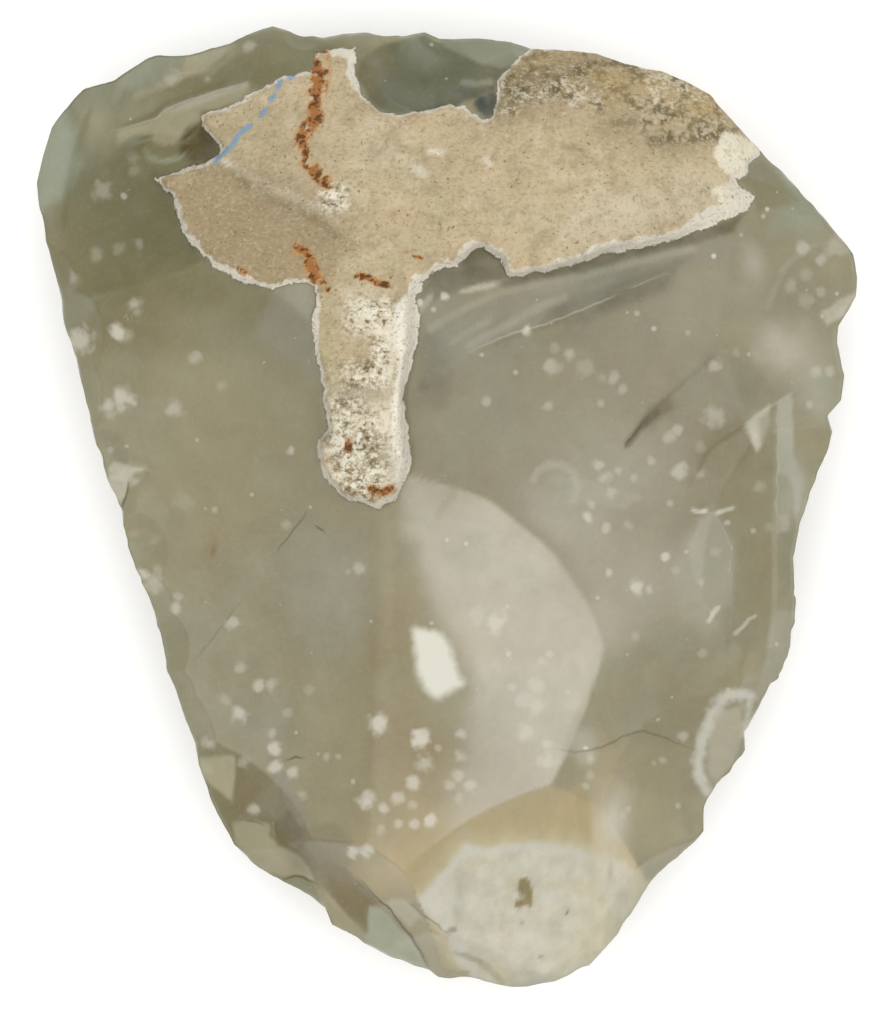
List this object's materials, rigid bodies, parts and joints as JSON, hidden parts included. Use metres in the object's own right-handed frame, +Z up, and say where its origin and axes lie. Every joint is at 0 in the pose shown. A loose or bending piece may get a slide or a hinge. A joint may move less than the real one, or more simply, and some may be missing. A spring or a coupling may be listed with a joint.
{
  "type": "flint nodule",
  "caption": "Knapped flint nodule with conchoidal flake scars and a patch of chalky cortex left on its face.",
  "frame": {"origin": "centre of the bounding box at its bottom, on the plane that the flint rests on", "axes": "+Z up through the cortex face, away from the rest flat; +Y along the length, from the pointed end to the broad end; +X to the right seen from above"},
  "size_m": [0.1353, 0.16, 0.0528],
  "materials": {
    "flint": "satin"
  },
  "bodies": {
    "root": {"flint_nodule": "flint"}
  },
  "joints": []
}
